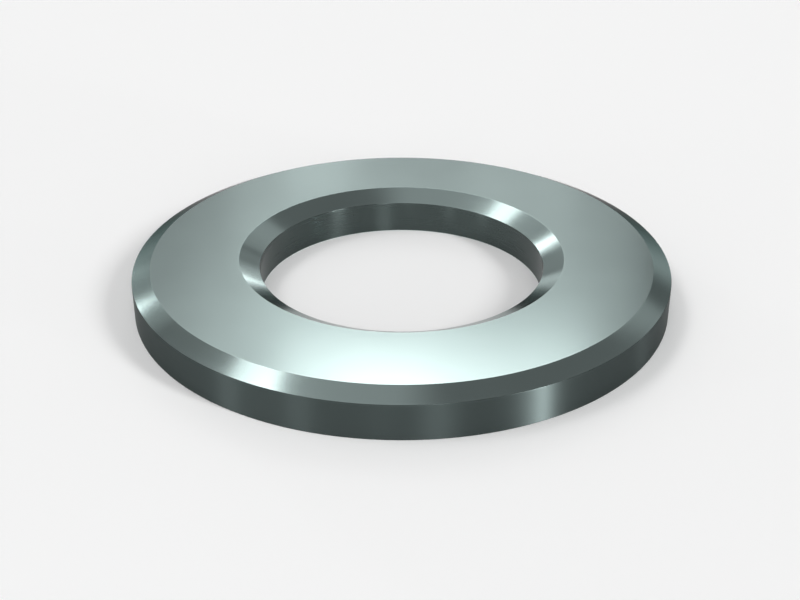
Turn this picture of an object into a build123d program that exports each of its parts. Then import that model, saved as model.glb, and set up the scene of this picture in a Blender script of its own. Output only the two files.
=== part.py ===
from build123d import *
import os

# Chamfered flat washer, turned from one piece of steel, in millimetres.
# The origin is the middle of the underside, and +Z runs up the bore to the chamfered side.
outside_diameter = 32.0
bore_diameter = 17.0
thickness = 2.6

# The rim chamfer breaks the corner between the top face and the outside wall.
rim_chamfer_width = 1.08
rim_chamfer_height = 0.51

# The countersink leads a bolt into the bore, and clears the fillet under its head.
countersink_width = 1.2
countersink_height = 0.63

# Every turned corner keeps this small round.
edge_radius = 0.06

rim_radius = outside_diameter / 2
bore_radius = bore_diameter / 2
rim_chamfer_foot = thickness - rim_chamfer_height
countersink_foot = thickness - countersink_height

with BuildPart() as washer:
    # half of the section, on the +X side of the axis
    with BuildSketch(Plane.XZ):
        with BuildLine():
            Polyline(
                (bore_radius, 0),
                (rim_radius, 0),
                (rim_radius, rim_chamfer_foot),
                (rim_radius - rim_chamfer_width, thickness),
                (bore_radius + countersink_width, thickness),
                (bore_radius, countersink_foot),
                close=True,
            )
        section = make_face()
        fillet(section.vertices(), radius=edge_radius)
    revolve(axis=Axis.Z)

washer.part.label = "washer"

os.makedirs("parts", exist_ok=True)
export_step(washer.part, "parts/washer.step")
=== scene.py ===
import math

import bpy
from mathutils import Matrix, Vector


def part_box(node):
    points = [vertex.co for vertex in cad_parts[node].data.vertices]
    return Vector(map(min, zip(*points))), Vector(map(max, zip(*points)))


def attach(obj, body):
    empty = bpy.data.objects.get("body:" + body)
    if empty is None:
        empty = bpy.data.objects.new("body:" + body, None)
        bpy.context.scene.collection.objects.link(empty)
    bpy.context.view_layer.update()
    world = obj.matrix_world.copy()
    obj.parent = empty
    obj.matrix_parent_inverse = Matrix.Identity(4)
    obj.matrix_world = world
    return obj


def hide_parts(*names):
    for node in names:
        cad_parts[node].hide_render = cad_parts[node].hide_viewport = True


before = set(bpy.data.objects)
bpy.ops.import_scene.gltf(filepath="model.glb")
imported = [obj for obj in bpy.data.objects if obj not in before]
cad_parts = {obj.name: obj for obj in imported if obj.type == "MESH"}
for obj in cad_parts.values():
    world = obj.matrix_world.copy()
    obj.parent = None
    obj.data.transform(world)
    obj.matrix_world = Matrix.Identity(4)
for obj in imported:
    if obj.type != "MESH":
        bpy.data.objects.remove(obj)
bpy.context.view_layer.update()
print("frame loaded")


# The washer is one turned ring. Lengths are in metres, and the rim and the height come from the frame.
ringForm = {
    "boreRadius": 0.0085,
    "rimChamferWidth": 0.00108,
    "rimChamferHeight": 0.00051,
    "countersinkWidth": 0.0012,
    "countersinkHeight": 0.00063,
    "cornerRound": 0.00003,  # finer than the solid's, for corners as crisp as the photo's
    "cornerSteps": 5,  # spans across each corner round
    "wearReach": 0.00022,  # how far a worn corner shows on the flats beside it
    "wearRows": 2,  # rows across that reach
    "spansRound": 720,
}
finishNames = ["groundFace", "rimBevel", "countersinkBevel", "turnedRimPaintedShade", "boredWallPaintedShade"]


def cornerRows(before, corner, after, form):
    # rows of (radius, height, normal out, normal up, wear) round one corner of the section
    toBefore = (Vector(before) - Vector(corner)).normalized()
    toAfter = (Vector(after) - Vector(corner)).normalized()
    halfAngle = toBefore.angle(toAfter) / 2
    inward = (toBefore + toAfter).normalized()
    centre = Vector(corner) + inward * form["cornerRound"] / math.sin(halfAngle)
    setBack = form["cornerRound"] / math.tan(halfAngle)
    first = Vector(corner) + toBefore * setBack - centre
    last = Vector(corner) + toAfter * setBack - centre
    startAngle = math.atan2(first.y, first.x)
    sweep = (math.atan2(last.y, last.x) - startAngle + math.pi) % (2 * math.pi) - math.pi
    rows = []
    for i in range(form["wearRows"], 0, -1):
        fade = i / form["wearRows"]
        spot = centre + first + toBefore * form["wearReach"] * fade
        rows.append((spot.x, spot.y, *first.normalized(), 1 - fade))
    for i in range(form["cornerSteps"] + 1):
        angle = startAngle + sweep * i / form["cornerSteps"]
        out = Vector((math.cos(angle), math.sin(angle)))
        spot = centre + out * form["cornerRound"]
        rows.append((spot.x, spot.y, out.x, out.y, 1.0))
    for i in range(1, form["wearRows"] + 1):
        fade = i / form["wearRows"]
        spot = centre + last + toAfter * form["wearReach"] * fade
        rows.append((spot.x, spot.y, *last.normalized(), 1 - fade))
    return rows


def ringSection(form):
    low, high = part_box("washer")
    rim, bore, bottom, top = high.x, form["boreRadius"], low.z, high.z
    # each corner, with the finish of its round and of the flat after it
    corners = [
        ((bore, bottom), "groundFace", "groundFace"),
        ((rim, bottom), "turnedRimPaintedShade", "turnedRimPaintedShade"),
        # this round takes the rim wall's painted shade, which dims its highlight
        ((rim, top - form["rimChamferHeight"]), "turnedRimPaintedShade", "rimBevel"),
        ((rim - form["rimChamferWidth"], top), "rimBevel", "groundFace"),
        ((bore + form["countersinkWidth"], top), "countersinkBevel", "countersinkBevel"),
        # the countersink's foot takes the bore wall's painted shade, which dims its highlight
        ((bore, top - form["countersinkHeight"]), "boredWallPaintedShade", "boredWallPaintedShade"),
    ]
    rows, finishes = [], []
    for i, (corner, roundFinish, flatFinish) in enumerate(corners):
        flatBefore = corners[i - 1][2]
        before, after = corners[i - 1][0], corners[(i + 1) % len(corners)][0]
        rows += cornerRows(before, corner, after, form)
        finishes += [flatBefore] * form["wearRows"]
        finishes += [roundFinish] * form["cornerSteps"]
        finishes += [flatFinish] * (form["wearRows"] + 1)
    return rows, finishes


def turnRing(form):
    rows, finishes = ringSection(form)
    spans, count = form["spansRound"], len(rows)
    points, normals, wear, faces, faceFinishes = [], [], [], [], []
    for span in range(spans):
        angle = 2 * math.pi * span / spans
        along, across = math.cos(angle), math.sin(angle)
        for radius, height, out, up, worn in rows:
            points.append((radius * along, radius * across, height))
            normals.append((out * along, out * across, up))
            wear.append(worn)
    for span in range(spans):
        here, there = span * count, (span + 1) % spans * count
        for i in range(count):
            j = (i + 1) % count
            faces.append((here + i, there + i, there + j, here + j))
            faceFinishes.append(finishNames.index(finishes[i]))
    mesh = bpy.data.meshes.new("turnedRing")
    mesh.from_pydata(points, [], faces)
    mesh.polygons.foreach_set("material_index", faceFinishes)
    mesh.attributes.new("wear", "FLOAT", "POINT").data.foreach_set("value", wear)
    mesh.shade_smooth()
    mesh.normals_split_custom_set_from_vertices(normals)
    ring = bpy.data.objects.new("turnedRing", mesh)
    bpy.context.scene.collection.objects.link(ring)
    return ring


# Satin steel, with its sizes in metres.
satinSteel = (0.445, 0.55, 0.537)
steelFinish = {
    "groundFace": {
        "colour": satinSteel,
        "edgeTint": 0.75,
        "roughness": 0.155,
        "anisotropy": 0.0,
        "marksAlong": "radius",
        "markPitch": 0.00022,
        "markDepth": 0.00000012,
    },
    "rimBevel": {
        "colour": satinSteel,
        "edgeTint": 0.12,
        "roughness": 0.15,
        "anisotropy": 0.0,
        "marksAlong": "radius",
        "markPitch": 0.00016,
        "markDepth": 0.00000012,
    },
    "countersinkBevel": {
        "colour": satinSteel,
        "edgeTint": 0.55,
        "roughness": 0.15,
        "anisotropy": 0.0,
        "marksAlong": "radius",
        "markPitch": 0.00016,
        "markDepth": 0.00000012,
    },
    "turnedRimPaintedShade": {
        # this dark colour is painted shade: the rim wall is the same steel as the faces, darkened to
        # stand in for the shaded floor it mirrors
        "colour": (0.081, 0.101, 0.099),
        "edgeTint": 0.6,
        "roughness": 0.38,
        "anisotropy": 1.0,
        "marksAlong": "height",
        "markPitch": 0.00014,
        "markDepth": 0.0000001,
    },
    "boredWallPaintedShade": {
        # this dark colour is painted shade: the bore wall is the same steel as the faces, darkened to
        # stand in for the shaded floor it mirrors
        "colour": (0.082, 0.103, 0.1),
        "edgeTint": 1.0,
        "roughness": 0.28,
        "anisotropy": 1.0,
        "marksAlong": "height",
        "markPitch": 0.00014,
        "markDepth": 0.0000001,
    },
}
steelDetail = {
    "cloudSize": 0.0042,  # faint clouds left by the last polish
    "cloudSteps": 3,
    "cloudShift": 0.4,  # where in the noise they are taken
    "cloudColour": 0.05,  # how far they change the colour, as a share of it
    "cloudRoughness": 0.1,
    "cloudGrain": 0.55,
    "markSteps": 3,
    "markRoughness": 0.08,
    "wearSize": 0.0011,  # patches of wear on the corners
    "wearSteps": 2,
    "wearShift": 0.9,
    "wearContrast": 2.4,
    "wearBright": 0.1,
}
noiseMiddle = 0.5  # noise runs from 0 to 1
quarterTurn = 0.25


def steelMaterial(name, finish, detail):
    material = bpy.data.materials.new(name)
    material.use_nodes = True
    nodes, links = material.node_tree.nodes, material.node_tree.links
    shader = nodes["Principled BSDF"]
    shader.inputs["Metallic"].default_value = 1
    tint = finish["edgeTint"]
    shader.inputs["Specular Tint"].default_value = (tint, tint, tint, 1)
    shader.inputs["Anisotropic"].default_value = finish["anisotropy"]

    place = nodes.new("ShaderNodeTexCoord")
    split = nodes.new("ShaderNodeSeparateXYZ")
    links.new(place.outputs["Object"], split.inputs[0])

    def maths(operation, first, second=None, clamp=False):
        node = nodes.new("ShaderNodeMath")
        node.operation = operation
        node.use_clamp = clamp
        for socket, value in zip(node.inputs, (first, second)):
            if isinstance(value, bpy.types.NodeSocket):
                links.new(value, socket)
            elif value is not None:
                socket.default_value = value
        return node.outputs[0]

    def clouds(size, steps, move):
        shift = nodes.new("ShaderNodeVectorMath")
        shift.operation = "ADD"
        shift.inputs[1].default_value = (move, move, move)
        links.new(place.outputs["Object"], shift.inputs[0])
        noise = nodes.new("ShaderNodeTexNoise")
        noise.inputs["Scale"].default_value = 1 / size
        noise.inputs["Detail"].default_value = steps
        noise.inputs["Roughness"].default_value = detail["cloudGrain"]
        links.new(shift.outputs[0], noise.inputs["Vector"])
        return maths("SUBTRACT", noise.outputs["Fac"], noiseMiddle)

    def turningMarks():
        if finish["marksAlong"] == "height":
            along = split.outputs["Z"]
        else:
            xSquared = maths("POWER", split.outputs["X"], 2)
            ySquared = maths("POWER", split.outputs["Y"], 2)
            along = maths("SQRT", maths("ADD", xSquared, ySquared))
        noise = nodes.new("ShaderNodeTexNoise")
        noise.noise_dimensions = "1D"
        noise.inputs["Scale"].default_value = 1 / finish["markPitch"]
        noise.inputs["Detail"].default_value = detail["markSteps"]
        links.new(along, noise.inputs["W"])
        return maths("SUBTRACT", noise.outputs["Fac"], noiseMiddle)

    cloud = clouds(detail["cloudSize"], detail["cloudSteps"], detail["cloudShift"])
    marks = turningMarks()

    # a worn corner is brighter, in patches
    wear = nodes.new("ShaderNodeAttribute")
    wear.attribute_name = "wear"
    patches = clouds(detail["wearSize"], detail["wearSteps"], detail["wearShift"])
    patches = maths("MULTIPLY", patches, detail["wearContrast"])
    patches = maths("ADD", patches, noiseMiddle, clamp=True)
    bright = maths("MULTIPLY", maths("MULTIPLY", wear.outputs["Fac"], wear.outputs["Fac"]), patches)

    level = maths("ADD", maths("MULTIPLY", cloud, detail["cloudColour"] / noiseMiddle), 1)
    level = maths("ADD", level, maths("MULTIPLY", bright, detail["wearBright"]))
    colour = nodes.new("ShaderNodeVectorMath")
    colour.operation = "SCALE"
    colour.inputs[0].default_value = finish["colour"]
    links.new(level, colour.inputs["Scale"])
    links.new(colour.outputs[0], shader.inputs["Base Color"])

    spread = maths("MULTIPLY", cloud, detail["cloudRoughness"] / noiseMiddle)
    spread = maths("ADD", spread, maths("MULTIPLY", marks, detail["markRoughness"] / noiseMiddle))
    rough = maths("MULTIPLY", maths("ADD", spread, 1), finish["roughness"])
    links.new(rough, shader.inputs["Roughness"])

    bump = nodes.new("ShaderNodeBump")
    bump.inputs["Distance"].default_value = finish["markDepth"]
    links.new(marks, bump.inputs["Height"])
    links.new(bump.outputs[0], shader.inputs["Normal"])

    if finish["anisotropy"]:
        # the marks run round the ring, so the blur runs up and down
        tangent = nodes.new("ShaderNodeTangent")
        tangent.direction_type = "RADIAL"
        tangent.axis = "Z"
        shader.inputs["Anisotropic Rotation"].default_value = quarterTurn
        links.new(tangent.outputs[0], shader.inputs["Tangent"])
    return material


ring = turnRing(ringForm)
for name in finishNames:
    ring.data.materials.append(steelMaterial(name, steelFinish[name], steelDetail))
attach(ring, "root")
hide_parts("washer")
print("ring turned and finished")


floorForm = {
    "radius": 2.5,
    "spansRound": 96,
    "drop": 0.00001,  # keeps it just clear of the underside
    "colour": (0.96, 0.96, 0.96),
    "roughness": 0.9,
    "specular": 0.0,
}


def layFloor(form):
    radius, spans = form["radius"], form["spansRound"]
    points = []
    for i in range(spans):
        angle = 2 * math.pi * i / spans
        points.append((radius * math.cos(angle), radius * math.sin(angle), -form["drop"]))
    mesh = bpy.data.meshes.new("paperFloor")
    mesh.from_pydata(points, [], [tuple(range(len(points)))])
    floor = bpy.data.objects.new("paperFloor", mesh)
    bpy.context.scene.collection.objects.link(floor)
    paper = bpy.data.materials.new("palePaper")
    paper.use_nodes = True
    shader = paper.node_tree.nodes["Principled BSDF"]
    shader.inputs["Base Color"].default_value = (*form["colour"], 1)
    shader.inputs["Roughness"].default_value = form["roughness"]
    shader.inputs["Specular IOR Level"].default_value = form["specular"]
    mesh.materials.append(paper)


# Softboxes and cards stand on a dome over the washer and face it. Azimuth, elevation, width and height
# are in degrees as the washer sees them. Azimuth 0 is the camera's side and 90 is +X. A softbox with a
# level of 1 looks as bright as a white card.
softBoxes = {
    "backBox": {"azimuth": 178.1, "elevation": 37.8, "width": 14, "height": 15, "level": 1.47},
    "backCore": {"azimuth": 180.8, "elevation": 36.4, "width": 5, "height": 8, "level": 1},
    "backCoreWide": {"azimuth": 180.4, "elevation": 36.9, "width": 9, "height": 6, "level": 0.86},
    "backBroad": {"azimuth": 184, "elevation": 26.5, "width": 29, "height": 29, "level": 0.27},
    "backLeft": {"azimuth": 188.3, "elevation": 29.5, "width": 4, "height": 9, "level": 0.22},
    "backRight": {"azimuth": 170.5, "elevation": 27, "width": 5, "height": 10, "level": 0.11},
    "backGlowLeft": {"azimuth": 184, "elevation": 22.1, "width": 3, "height": 4, "level": 0.48},
    "backGlowRight": {"azimuth": 174, "elevation": 23.1, "width": 5, "height": 4, "level": 0.32},
    "leftBroad": {"azimuth": 211, "elevation": 47, "width": 68, "height": 19, "level": 0.08},
    "leftHigh": {"azimuth": 262, "elevation": 62.1, "width": 33, "height": 9, "level": 1.5},
    "leftUpper": {"azimuth": 220, "elevation": 53.2, "width": 10.5, "height": 8.4, "level": 1.95},
    "leftMiddle": {"azimuth": 205.3, "elevation": 28.8, "width": 4.3, "height": 5.5, "level": 3.9},
    "leftLow": {"azimuth": 221.2, "elevation": 23.6, "width": 3.4, "height": 3.5, "level": 4.5},
    "leftInner": {"azimuth": 202, "elevation": 25.4, "width": 3, "height": 4, "level": 0.6},
    "rightBox": {"azimuth": 148.5, "elevation": 34, "width": 25, "height": 16.5, "level": 0.28},
    "rightLow": {"azimuth": 161.5, "elevation": 20.5, "width": 5, "height": 5, "level": 0.18},
    "horizonRight": {"azimuth": 172, "elevation": 6.3, "width": 4, "height": 4, "level": 3},
    "horizonBack": {"azimuth": 190, "elevation": 7.5, "width": 4, "height": 5, "level": 0.3},
    "horizonMiddle": {"azimuth": 198.5, "elevation": 3, "width": 4.2, "height": 9.5, "level": 8},
    "horizonLeft": {"azimuth": 214.5, "elevation": 5.2, "width": 5, "height": 8, "level": 25},
    "keyBox": {"azimuth": 57.5, "elevation": 35.5, "width": 8, "height": 19, "level": 18},
    "keyStrip": {"azimuth": 61, "elevation": 35.6, "width": 3.2, "height": 19, "level": 21},
    "keyFoot": {"azimuth": 51.5, "elevation": 3.5, "width": 6, "height": 6, "level": 18},
    "stripFoot": {"azimuth": 55, "elevation": 1.4, "width": 3, "height": 2.4, "level": 425},
    "sideFoot": {"azimuth": 107, "elevation": 4, "width": 5, "height": 6, "level": 10},
    "frontTall": {"azimuth": 14.5, "elevation": 28, "width": 10, "height": 36, "level": 4.9},
    "frontFoot": {"azimuth": -8, "elevation": 4, "width": 8, "height": 6, "level": 3},
    "frontFootLeft": {"azimuth": -39, "elevation": 4, "width": 9, "height": 6, "level": 10.5},
    "leftFoot": {"azimuth": -69, "elevation": 4, "width": 8, "height": 6, "level": 13},
    "leftFill": {"azimuth": 268, "elevation": 58, "width": 24, "height": 18, "level": 3.1},
    "overhead": {"azimuth": -10, "elevation": 68, "width": 30, "height": 14, "level": 2.2},
}
blackCards = {
    "leftCard": {"azimuth": 231, "elevation": 39, "width": 9.5, "height": 31},
    "backCard": {"azimuth": 199.5, "elevation": 19.5, "width": 20.5, "height": 19.5},
    "rightCard": {"azimuth": 156.5, "elevation": 29.5, "width": 6, "height": 5.5},
}
studioDome = {
    "boxRadius": 10.0,
    "cardRadius": 10.6,  # behind the softboxes
    "cardShade": 0.1,
    "cardRoughness": 1.0,
}
skyLight = {
    "left": 0.4,  # the sky's level on the -X side
    "right": 0.17,
    "turnFrom": -0.03,  # where it starts to turn, as the X of a direction
    "turnTo": 0.15,
    "horizon": 0.85,  # a pale band round the foot of the sky
    "bandTop": 10,  # degrees up to which the band is whole, and where it ends
    "bandEnd": 19,
}


def domePlace(box, distance):
    azimuth, elevation = math.radians(box["azimuth"]), math.radians(box["elevation"])
    flat = math.cos(elevation)
    out = Vector((math.sin(azimuth) * flat, -math.cos(azimuth) * flat, math.sin(elevation)))
    width = 2 * distance * math.tan(math.radians(box["width"] / 2))
    height = 2 * distance * math.tan(math.radians(box["height"] / 2))
    return out * distance, out.to_track_quat("Z", "Y"), width, height


def hang(name, data, place, turn):
    holder = bpy.data.objects.new(name, data)
    holder.location = place
    holder.rotation_mode = "QUATERNION"
    holder.rotation_quaternion = turn
    holder.visible_camera = False  # only the metal and the floor see it
    bpy.context.scene.collection.objects.link(holder)
    return holder


def hangSoftBox(name, box):
    place, turn, width, height = domePlace(box, studioDome["boxRadius"])
    lamp = bpy.data.lights.new(name, "AREA")
    lamp.shape = "RECTANGLE"
    lamp.size, lamp.size_y = width, height
    lamp.energy = box["level"] * math.pi * width * height  # makes its face as bright as its level
    hang(name, lamp, place, turn)


def hangCard(name, card, material):
    place, turn, width, height = domePlace(card, studioDome["cardRadius"])
    mesh = bpy.data.meshes.new(name)
    x, y = width / 2, height / 2
    mesh.from_pydata([(-x, -y, 0), (x, -y, 0), (x, y, 0), (-x, y, 0)], [], [(0, 1, 2, 3)])
    mesh.materials.append(material)
    hang(name, mesh, place, turn)


def blackCardMaterial():
    card = bpy.data.materials.new("blackCard")
    card.use_nodes = True
    shader = card.node_tree.nodes["Principled BSDF"]
    shade = studioDome["cardShade"]
    shader.inputs["Base Color"].default_value = (shade, shade, shade, 1)
    shader.inputs["Roughness"].default_value = studioDome["cardRoughness"]
    return card


def fillSky(sky):
    world = bpy.data.worlds.new("studio")
    world.use_nodes = True
    nodes, links = world.node_tree.nodes, world.node_tree.links
    direction = nodes.new("ShaderNodeTexCoord")
    split = nodes.new("ShaderNodeSeparateXYZ")
    links.new(direction.outputs["Generated"], split.inputs[0])

    def turnLevel(along, start, end, first, last):
        turn = nodes.new("ShaderNodeMapRange")
        turn.interpolation_type = "SMOOTHSTEP"
        turn.inputs["From Min"].default_value = start
        turn.inputs["From Max"].default_value = end
        turn.inputs["To Min"].default_value = first
        turn.inputs["To Max"].default_value = last
        links.new(split.outputs[along], turn.inputs["Value"])
        return turn.outputs["Result"]

    sideLevel = turnLevel("X", sky["turnFrom"], sky["turnTo"], sky["left"], sky["right"])
    bandTop, bandEnd = math.sin(math.radians(sky["bandTop"])), math.sin(math.radians(sky["bandEnd"]))
    bandShare = turnLevel("Z", bandTop, bandEnd, 1, 0)
    level = nodes.new("ShaderNodeMix")  # the side's level above, the horizon's level in the band
    level.inputs["B"].default_value = sky["horizon"]
    links.new(bandShare, level.inputs["Factor"])
    links.new(sideLevel, level.inputs["A"])
    background = nodes["Background"]
    background.inputs["Color"].default_value = (1, 1, 1, 1)
    links.new(level.outputs["Result"], background.inputs["Strength"])
    bpy.context.scene.world = world


layFloor(floorForm)
for name, box in softBoxes.items():
    hangSoftBox(name, box)
blackCard = blackCardMaterial()
for name, card in blackCards.items():
    hangCard(name, card, blackCard)
fillSky(skyLight)
print("studio lit")


# The camera faces the middle of the underside from the photo's angle, then moves a little down and left.
photoCamera = {
    "elevation": 28.5034,
    "distance": 0.07787,
    "aside": -0.000091,
    "rise": -0.000611,
    "lens": 57.41,
    "sensorWidth": 36,
    "nearest": 0.001,
}


def setCamera(view):
    tilt = math.radians(view["elevation"])
    camera = bpy.data.cameras.new("photoCamera")
    camera.lens = view["lens"]
    camera.sensor_width = view["sensorWidth"]
    camera.clip_start = view["nearest"]
    holder = bpy.data.objects.new("photoCamera", camera)
    back = Vector((0, -math.cos(tilt), math.sin(tilt)))
    up = Vector((0, math.sin(tilt), math.cos(tilt)))
    holder.location = back * view["distance"] + up * view["rise"] + Vector((view["aside"], 0, 0))
    holder.rotation_euler = (math.pi / 2 - tilt, 0, 0)
    bpy.context.scene.collection.objects.link(holder)
    bpy.context.scene.camera = holder


setCamera(photoCamera)
bpy.context.scene.view_settings.view_transform = "Standard"
print("camera set")
